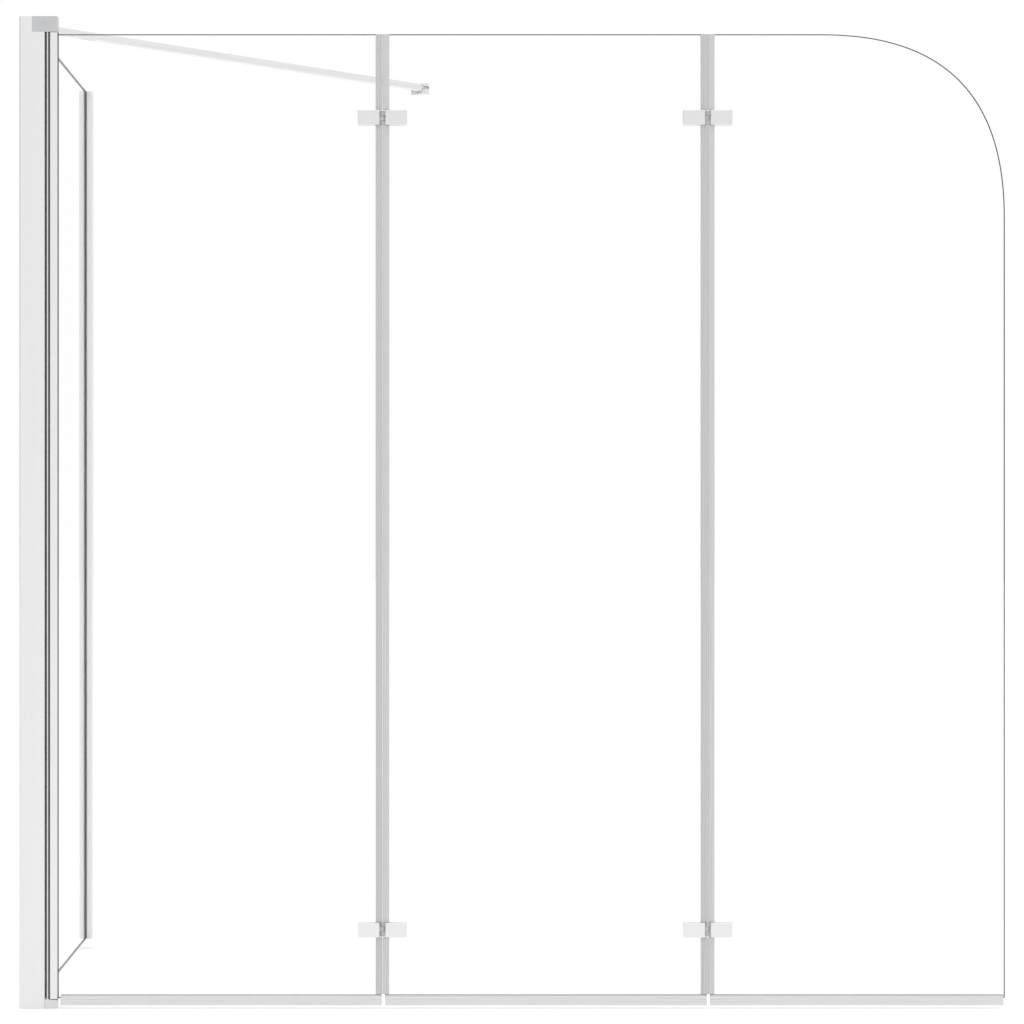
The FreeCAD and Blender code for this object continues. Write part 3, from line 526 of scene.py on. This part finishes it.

# Wall bracket: a forked zinc casting, satin plated, held to the wall by one screw. The stay's tongue turns
# in its slot on a steel pin. The slot and the screw hole are painted dark inside, as painted shade.

BRACKET_ROUND = 0.0006
BRACKET_STEPS = 3
SLOT_LEVEL = middle_of("stay_tongue").z
SLOT_REACH = 0.002
SLOT_END = -0.0062
HOLE_INSET = 0.0055
HOLE_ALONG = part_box("wall_bracket")[0].x + HOLE_INSET
HOLE_LEVEL = middle_of("wall_bracket").z
HOLE_REACH = 0.0024
# The colour of the painted shade in the bracket's slot and screw hole.
RECESS_SHADE = (0.1, 0.1, 0.105, 1)


def overlaid(finish, amount, colour):
    """Lays another colour over a finish's own, by an amount."""
    tree = finish.node_tree
    shader = tree.nodes["Principled BSDF"]
    plain = shader.inputs["Base Color"].links[0].from_socket
    blend = tree.nodes.new("ShaderNodeMix")
    blend.data_type = "RGBA"
    feed(tree, blend, {"Factor": amount, "A": plain, "B": colour})
    feed(tree, shader, {"Base Color": blend.outputs["Result"]})
    return finish


def painted_recess_shade(finish):
    """Paints shade dark into the bracket's slot and into its screw hole."""
    tree = finish.node_tree
    place = new_node(tree, "SeparateXYZ", {"Vector": own_place(tree)}).outputs
    level = worked_out(tree, "COMPARE", place["Z"], SLOT_LEVEL, SLOT_REACH)
    slot = worked_out(tree, "MULTIPLY", level, worked_out(tree, "LESS_THAN", place["Y"], SLOT_END))
    across = worked_out(tree, "SUBTRACT", place["X"], HOLE_ALONG)
    above = worked_out(tree, "SUBTRACT", place["Z"], HOLE_LEVEL)
    squares = [worked_out(tree, "MULTIPLY", side, side) for side in (across, above)]
    hole = worked_out(tree, "LESS_THAN", worked_out(tree, "ADD", *squares), HOLE_REACH ** 2)
    return overlaid(finish, worked_out(tree, "MAXIMUM", slot, hole), RECESS_SHADE)


# The bracket's satin zinc, with painted shade in its slot and screw hole.
bracket_zinc = painted_recess_shade(satin_casting("bracket_zinc", (0.75, 0.755, 0.76), 0.26))
finish_node("wall_bracket", bracket_zinc, BRACKET_ROUND, BRACKET_STEPS)

# Pivot profile: an aluminium extrusion on the first pane's edge. Its round tube turns on the two pivot
# pins, and its channel grips the glass in a rubber bed.

PROFILE_ROUND = 0.00012
CHANNEL_FLOOR = 0.0016
TUBE_MARGIN = 0.0001
TUBE_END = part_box("pivot_gasket")[0].x - CHANNEL_FLOOR - TUBE_MARGIN
TUBE_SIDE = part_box("pivot_profile")[0].x
TUBE_WIDTH = 0.0052
TUBE_INSET = 0.0006
TUBE_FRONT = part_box("pivot_profile")[0].y + TUBE_INSET
STREAK_DEPTH = 0.00007
# Where each band starts across the tube and how much light it keeps: painted shade in the dark bands, a
# painted highlight in the pale first band.
FLANK_SHADE_BANDS = ((0.0, 0.9), (0.17, 0.05), (0.6, 0.4), (0.75, 0.11))
SHADE_BAND_TINT = (1, 1, 1.02)


def painted_tube_shade(finish):
    """Paints shade in dark bands on the flanks of the hinge tube and a painted highlight in one pale band; its
    front keeps the plain finish.
    """
    tree = finish.node_tree
    place = new_node(tree, "SeparateXYZ", {"Vector": own_place(tree)}).outputs
    flank = ranged(tree, place["Y"], 0.0, 1.0, TUBE_FRONT + STREAK_DEPTH / 2, TUBE_FRONT + STREAK_DEPTH)
    tube = worked_out(tree, "LESS_THAN", place["X"], TUBE_END)
    across = ranged(tree, place["X"], 0.0, 1.0, TUBE_SIDE, TUBE_SIDE + TUBE_WIDTH)
    bands = new_node(tree, "ValToRGB", {"Fac": across})
    bands.color_ramp.interpolation = "CONSTANT"
    stops = bands.color_ramp.elements
    while len(stops) < len(FLANK_SHADE_BANDS):
        stops.new(0.5)
    for stop, (share, tone) in zip(stops, FLANK_SHADE_BANDS):
        stop.position = share
        stop.color = (*dimmed(SHADE_BAND_TINT, tone), 1)
    return overlaid(finish, worked_out(tree, "MULTIPLY", flank, tube), bands.outputs["Color"])


profile_aluminium = drawn_aluminium("profile_aluminium", (0.79, 0.79, 0.795), (0.77, 0.77, 0.775), 0.32)
# The profile's aluminium, with painted shade and a painted highlight on the tube's flanks.
finish_node("pivot_profile", painted_tube_shade(profile_aluminium), PROFILE_ROUND)

# Folding panes: three sheets of the same glass with ground edges. Each has an open notch behind every
# clamp for the screw, and the last has its free upper corner cut to a wide curve.

PANE_ARRIS = 0.00105
FOLDS = {fold: middle_of(f"{fold}_fold_pins").x for fold in ("first", "second")}
HINGE_LEVELS = [middle_of(f"first_{height}_near_front_plate").z for height in ("lower", "upper")]
clamp_low, clamp_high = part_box("first_lower_near_front_plate")
CLAMP_HALF = (clamp_high.z - clamp_low.z) / 2
CLAMP_REACH = FOLDS["first"] - clamp_low.x
NOTCH_HALF = 0.004
NOTCH_REACH = 0.022
CURVE_LEAD = 0.239
CURVE_STEPS = 48


def notched(outer, way, fold, levels):
    """The points of a pane's edge with its screw notches, from one level to the other."""
    inner = FOLDS[fold] + way * NOTCH_REACH
    climb = 1 if levels[0] < levels[1] else -1
    points = []
    for level in levels:
        points += [
            (outer, level - climb * CLAMP_HALF),
            (outer, level - climb * NOTCH_HALF),
            (inner, level - climb * NOTCH_HALF),
            (inner, level + climb * NOTCH_HALF),
            (outer, level + climb * NOTCH_HALF),
            (outer, level + climb * CLAMP_HALF),
        ]
    return points


def pane_outline(low, high, left_fold=None, right_fold=None, curved=False):
    """The outline of a folding pane, from its lower left corner round its right edge."""
    points = [(low.x, low.z), (high.x, low.z)]
    if right_fold:
        points += notched(high.x, -1, right_fold, HINGE_LEVELS)
    if curved:
        for step in range(CURVE_STEPS + 1):
            share = step / CURVE_STEPS
            along = high.x - CURVE_LEAD * share * share
            points.append((along, high.z - CURVE_LEAD * (1 - share) * (1 - share)))
    else:
        points.append((high.x, high.z))
    points.append((low.x, high.z))
    if left_fold:
        points += notched(low.x, 1, left_fold, HINGE_LEVELS[::-1])
    return points


for name, body, folds in (
    ("first", "first_leaf", {"right_fold": "first"}),
    ("second", "second_leaf", {"left_fold": "first", "right_fold": "second"}),
    ("third", "third_leaf", {"left_fold": "second", "curved": True}),
):
    low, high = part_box(f"{name}_glass")
    pane = ground_pane(f"{name}_pane", pane_outline(low, high, **folds), low.y, high.y, "Y", PANE_ARRIS)
    for face in pane.data.polygons:
        beside_clamp = any(abs(face.center.z - level) < CLAMP_HALF for level in HINGE_LEVELS)
        if beside_clamp and any(abs(face.center.x - fold) < CLAMP_REACH for fold in FOLDS.values()):
            face.material_index = 0
    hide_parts(f"{name}_glass")
    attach(pane, body)

# Clamp plates: zinc castings. The plain front plates are bright chrome with softly bevelled faces, and the
# satin back plates carry the hinge barrel. A screw from behind draws each pair together on the glass.

LEAVES = {"first": ("first_leaf", "second_leaf"), "second": ("second_leaf", "third_leaf")}
ROW_MIDDLE = middle_of("first_glass").y
WIPED = (40.0, 300.0, 1500.0)
FACE_BEVEL = 0.0006
FACE_STEPS = 3
SAME_DEPTH = 1e-7
PLATE_START = 0.0042
PLATE_BACK = 0.0074
PLATE_FRONT = 0.003
PLATE_ROUND = 0.0012
SCREW_MIDDLE = FOLDS["first"] - middle_of("first_near_screws").x
SCREW_ROOM = 0.00455
AXIS_BACK = middle_of("first_fold_pins").y - ROW_MIDDLE
BARREL = 0.004
BARREL_STEPS = 36
PIN_ROOM = 0.00205
HOLE_STEPS = 24
WEB_FRONT = 0.0037
WEB_BACK = 0.0014
WEB_OVERLAP = 0.0006
KNUCKLE_HALF = 0.00325
KNUCKLE_GAP = 0.0003
KNUCKLES = {
    "near": [(-KNUCKLE_HALF, KNUCKLE_HALF)],
    "far": [(-CLAMP_HALF, -KNUCKLE_HALF - KNUCKLE_GAP), (KNUCKLE_HALF + KNUCKLE_GAP, CLAMP_HALF)],
}
BACK_ROUND = 0.0004
BACK_STEPS = 2
BACK_DEGREES = 50
PAD_ROUND = 0.00015


def bright_chrome(name, colour, roughness):
    """Bright chrome over zinc, with hair scratches that only show in the gloss."""
    finish, tree, metal = new_finish(name)
    hair = patches(tree, WIPED, 5.0)
    feed(tree, metal, {
        "Metallic": 1.0,
        "Base Color": graded(tree, patches(tree, 120.0), dimmed(colour, 0.95), colour),
        "Roughness": ranged(tree, hair, roughness, roughness + 0.12, 0.35, 0.75),
    })
    return finish


def front_plate(name, low, high):
    """A clamp's front plate: a block whose front and side edges are rounded and whose back lies flat."""
    mesh = bmesh.new()
    bmesh.ops.create_cube(mesh, size=1.0)
    middle = (low + high) / 2
    size = high - low
    for corner in mesh.verts:
        corner.co = middle + Vector([c * s for c, s in zip(corner.co, size)])
    back = [edge for edge in mesh.edges if all(abs(v.co.y - high.y) < SAME_DEPTH for v in edge.verts)]
    front = [edge for edge in mesh.edges if edge not in back]
    bmesh.ops.bevel(mesh, geom=front, offset=FACE_BEVEL, segments=FACE_STEPS, affect="EDGES",
                    profile=0.5, clamp_overlap=True)
    flats = largest(mesh.faces, 6)
    for face in mesh.faces:
        face.smooth = face not in flats
    return meshed(name, mesh)


def circle(across, up, radius):
    """Points all the way round a centre."""
    return arc(across, up, radius, 0, 360, HOLE_STEPS)[:-1]


def back_plates(name, fold, side, way):
    """The two back plates on one side of a fold, each with a sunk screw hole and its knuckles on a web."""
    mesh = bmesh.new()
    tip = CLAMP_REACH - PLATE_ROUND
    top = CLAMP_HALF - PLATE_ROUND
    outline = [
        (PLATE_START, -CLAMP_HALF),
        *arc(tip, -top, PLATE_ROUND, -90, 0),
        *arc(tip, top, PLATE_ROUND, 0, 90),
        (PLATE_START, CLAMP_HALF),
    ]
    web_front = -math.degrees(math.asin(WEB_FRONT / BARREL))
    web_back = -math.degrees(math.asin(WEB_BACK / BARREL))
    knuckle = [
        (PLATE_START + WEB_OVERLAP, -WEB_BACK),
        *arc(0, 0, BARREL, web_back, 360 + web_front, BARREL_STEPS),
        (PLATE_START + WEB_OVERLAP, -WEB_FRONT),
    ]
    plate_loops = [outline, circle(SCREW_MIDDLE, 0, SCREW_ROOM)]
    barrel_loops = [knuckle, circle(0, 0, PIN_ROOM)]
    pieces = []
    for number, level in enumerate(HINGE_LEVELS):
        plate = extruded(f"{name}_plate_{number}", plate_loops, [(PLATE_FRONT, PLATE_BACK)],
                         lambda a, b, along: (fold + way * a, ROW_MIDDLE + along, level + b))
        barrel = extruded(f"{name}_barrel_{number}", barrel_loops, KNUCKLES[side],
                          lambda a, b, along: (fold + way * a, ROW_MIDDLE + AXIS_BACK + b, level + along))
        pieces += [plate, barrel]
    for piece in pieces:
        for face in piece.data.polygons:
            face.material_index = int("barrel" in piece.name)
        mesh.from_mesh(piece.data)
        bpy.data.objects.remove(piece)
    both = meshed(name, mesh)
    edges = both.modifiers.new("soft_edges", "BEVEL")
    edges.width = BACK_ROUND
    edges.segments = BACK_STEPS
    edges.limit_method = "ANGLE"
    edges.angle_limit = math.radians(BACK_DEGREES)
    edges.harden_normals = True
    return both


clamp_chrome = bright_chrome("clamp_chrome", (0.78, 0.78, 0.79), 0.12)
clamp_satin = satin_casting("clamp_satin", (0.74, 0.74, 0.75), 0.3)
# The knuckles get a paler, less metallic copy of the satin: painted light that lifts the shade of their recess
# between the plates.
knuckle_satin_lightened = satin_casting("knuckle_satin_lightened", (0.95, 0.95, 0.95), 0.55, 0.2)
clamp_nylon = moulded_nylon("clamp_nylon", (0.84, 0.85, 0.85))
for fold, (near_body, far_body) in LEAVES.items():
    for side, way, body in (("near", -1, near_body), ("far", 1, far_body)):
        backs = back_plates(f"{fold}_{side}_backs", FOLDS[fold], side, way)
        dressed(backs, clamp_satin, f"{fold}_{side}_back_plates", body)
        backs.data.materials.append(knuckle_satin_lightened)
        for level in ("upper", "lower"):
            node = f"{fold}_{level}_{side}_front_plate"
            plate = front_plate(f"{fold}_{level}_{side}_cover", *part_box(node))
            dressed(plate, clamp_chrome, node, body)
        finish_node(f"{fold}_{side}_screws", pin_steel, TURNED_ROUND)
        finish_node(f"{fold}_{side}_pads", clamp_nylon, PAD_ROUND)
    finish_node(f"{fold}_fold_pins", pin_steel, TURNED_ROUND)

# Upright seals: clear vinyl clips pushed onto the meeting edges of the panes and cut away round the clamps.
# Each has two thin legs on the glass and a hollow round nose that meets the nose of the next pane's seal.

NOSE_START = 0.0003
NOSE_DEPTH = 0.0029
NOSE_ROUND = 0.0014
NOSE_STEPS = 6
NOSE_WALL = 0.0009
LEG_GAUGE = 0.0011
LEG_TIP = 0.0004
CLAMP_GAP = 0.0006
CLAMP_ROOM = CLAMP_HALF + CLAMP_GAP


def upright_section(fold, way, node):
    """The outline of a seal and of the hollow in its nose, from the fold's axis outwards on one side."""
    low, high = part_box(node)
    middle = (low.y + high.y) / 2
    skin = high.y - middle
    glass = skin - LEG_GAUGE
    reach = max(high.x - fold, fold - low.x)
    edge = NOSE_START + NOSE_DEPTH
    upper = [
        *arc(reach - LEG_TIP, skin - LEG_TIP, LEG_TIP, 0, 90),
        *arc(NOSE_START + NOSE_ROUND, skin - NOSE_ROUND, NOSE_ROUND, 90, 180, NOSE_STEPS),
    ]
    lower = [(a, -b) for a, b in reversed(upper)]
    grip = [(reach, -glass), (edge, -glass), (edge, glass), (reach, glass)]
    inner = NOSE_START + NOSE_WALL
    outer = edge - NOSE_WALL
    room = glass - NOSE_WALL / 2
    hollow = [(inner, -room), (outer, -room), (outer, room), (inner, room)]
    return [[(fold + way * a, middle + b) for a, b in loop] for loop in (upper + lower + grip, hollow)]


# The near seal's vinyl is a little darker than the far seal's: painted shade on the near seal.
edge_vinyl = {
    "near": clear_vinyl("near_seal_vinyl_shaded", (0.55, 0.55, 0.555), depth=0.99),
    "far": clear_vinyl("far_seal_vinyl_lit", (0.6, 0.6, 0.605), depth=0.99),
}
for fold, (near_body, far_body) in LEAVES.items():
    for side, way, body in (("near", -1, near_body), ("far", 1, far_body)):
        node = f"{fold}_{side}_seal"
        low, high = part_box(node)
        cuts = [level + step for level in HINGE_LEVELS for step in (-CLAMP_ROOM, CLAMP_ROOM)]
        stops = [low.z, *cuts, high.z]
        section = upright_section(FOLDS[fold], way, node)
        strip = extruded(f"{fold}_{side}_strip", section, list(zip(stops[::2], stops[1::2])))
        dressed(strip, edge_vinyl[side], node, body)

# Drip seals: clear vinyl clips on the feet of the panes, each with a bead along the top of its legs and two
# thin fins that curve outwards onto the bath's rim.

STREAKS_LEVEL = (6.0, 500.0, 500.0)
GLASS_HALF = 0.002
DRIP_GAUGE = 0.0014
FIN_DROP = 0.0076
CLIP_FLOOR = 0.0018
BEAD = 0.0003
BEAD_DEPTH = 5 * BEAD
FIN_GAUGE = 0.0011
FIN_STEPS = 6


def drip_section(low, high):
    """The outline of a clip: one half from the top of its leg down to its fin, and the same mirrored."""
    middle = (low.y + high.y) / 2
    skin = GLASS_HALF + DRIP_GAUGE
    tip = high.y - middle
    floor = low.z + FIN_DROP
    leg = [
        (GLASS_HALF, floor + CLIP_FLOOR),
        (GLASS_HALF, high.z),
        (skin, high.z),
        (skin + BEAD, high.z - BEAD),
        (skin + BEAD, high.z - 3 * BEAD),
        (skin, high.z - 4 * BEAD),
        (skin, floor),
    ]
    shares = [step / FIN_STEPS for step in range(1, FIN_STEPS + 1)]
    outside = [(skin + (tip - skin) * share * share, floor + (low.z - floor) * share) for share in shares]
    inside = [(a - FIN_GAUGE, b) for a, b in reversed(outside)] + [(skin - FIN_GAUGE, floor)]
    half = leg + outside + inside
    return [(middle + a, b) for a, b in half + [(-a, b) for a, b in reversed(half)]]


def level_along(a, b, along):
    """Lays a section's point in a strip that lies level, along the row of panes."""
    return along, a, b


# The bead along the top of each clip is painted darker than the rest of the vinyl, as painted shade along the
# top edge.
bead_shade_vinyl = clear_vinyl("bead_shade_vinyl", (0.52, 0.52, 0.525), STREAKS_LEVEL)
drip_vinyl = clear_vinyl("drip_vinyl", (0.73, 0.73, 0.735), STREAKS_LEVEL)
for name, body in (("first", "first_leaf"), ("second", "second_leaf"), ("third", "third_leaf")):
    low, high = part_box(f"{name}_drip_seal")
    strip = extruded(f"{name}_drip_strip", [drip_section(low, high)], [(low.x, high.x)], level_along)
    dressed(strip, drip_vinyl, f"{name}_drip_seal", body)
    strip.data.materials.append(bead_shade_vinyl)
    for face in strip.data.polygons:
        if face.center.z > high.z - BEAD_DEPTH:
            face.material_index = 1

# Studio: a pale floor just under the post, white surroundings that fall off to grey on the left and are
# brighter above, and one soft light overhead. The camera stands where the photograph was taken, square to
# the row of panes.

WHITE = (1, 1, 1, 1)
FLOOR_REACH = 30.0
FLOOR_GAP = 0.0004
FLOOR_GLOW = 0.45
GREY_LEFT = 0.55
LEFT_END = -0.95
LEFT_START = -0.45
BRIGHT_ABOVE = 1.36
ABOVE_START = 0.35
ABOVE_END = 0.8

level = cad_box[0].z - FLOOR_GAP
corners = [(x * FLOOR_REACH, y * FLOOR_REACH, level) for x, y in ((-1, -1), (1, -1), (1, 1), (-1, 1))]
floor_mesh = bpy.data.meshes.new("studio_floor")
floor_mesh.from_pydata(corners, [], [(0, 1, 2, 3)])
placed("studio_floor", floor_mesh)
floor_paint, tree, paint = new_finish("floor_paint")
feed(tree, paint, {
    "Base Color": (0.55, 0.55, 0.55, 1),
    "Emission Color": WHITE,
    "Emission Strength": FLOOR_GLOW,
    "Roughness": 0.9,
    "Specular IOR Level": 0.0,
})
floor_mesh.materials.append(floor_paint)

surroundings = bpy.data.worlds.new("white_studio")
surroundings.use_nodes = True
tree = surroundings.node_tree
look = new_node(tree, "TexCoord", {}).outputs["Generated"]
parts = new_node(tree, "SeparateXYZ", {"Vector": look}).outputs
greyer = ranged(tree, parts["X"], GREY_LEFT, 1.0, LEFT_END, LEFT_START)
brighter = ranged(tree, parts["Z"], 1.0, BRIGHT_ABOVE, ABOVE_START, ABOVE_END)
light = worked_out(tree, "MULTIPLY", greyer, brighter)
feed(tree, tree.nodes["Background"], {"Color": WHITE, "Strength": light})
bpy.context.scene.world = surroundings

softbox = bpy.data.lights.new("softbox", "AREA")
softbox.shape = "RECTANGLE"
softbox.size = 4.0
softbox.size_y = 3.0
softbox.energy = 8.0
placed("softbox", softbox).location = (0.6, -1.2, 3.4)

lens = bpy.data.cameras.new("camera")
lens.sensor_width = 36.0
lens.lens = 131.3
lens.shift_x = 0.0797
lens.shift_y = 0.001
lens.clip_end = 100.0
camera = placed("camera", lens)
camera.location = (0.5134, -5.59, 0.634)
camera.rotation_euler = (math.radians(90), 0, 0)
bpy.context.scene.camera = camera
bpy.context.scene.view_settings.view_transform = "Standard"
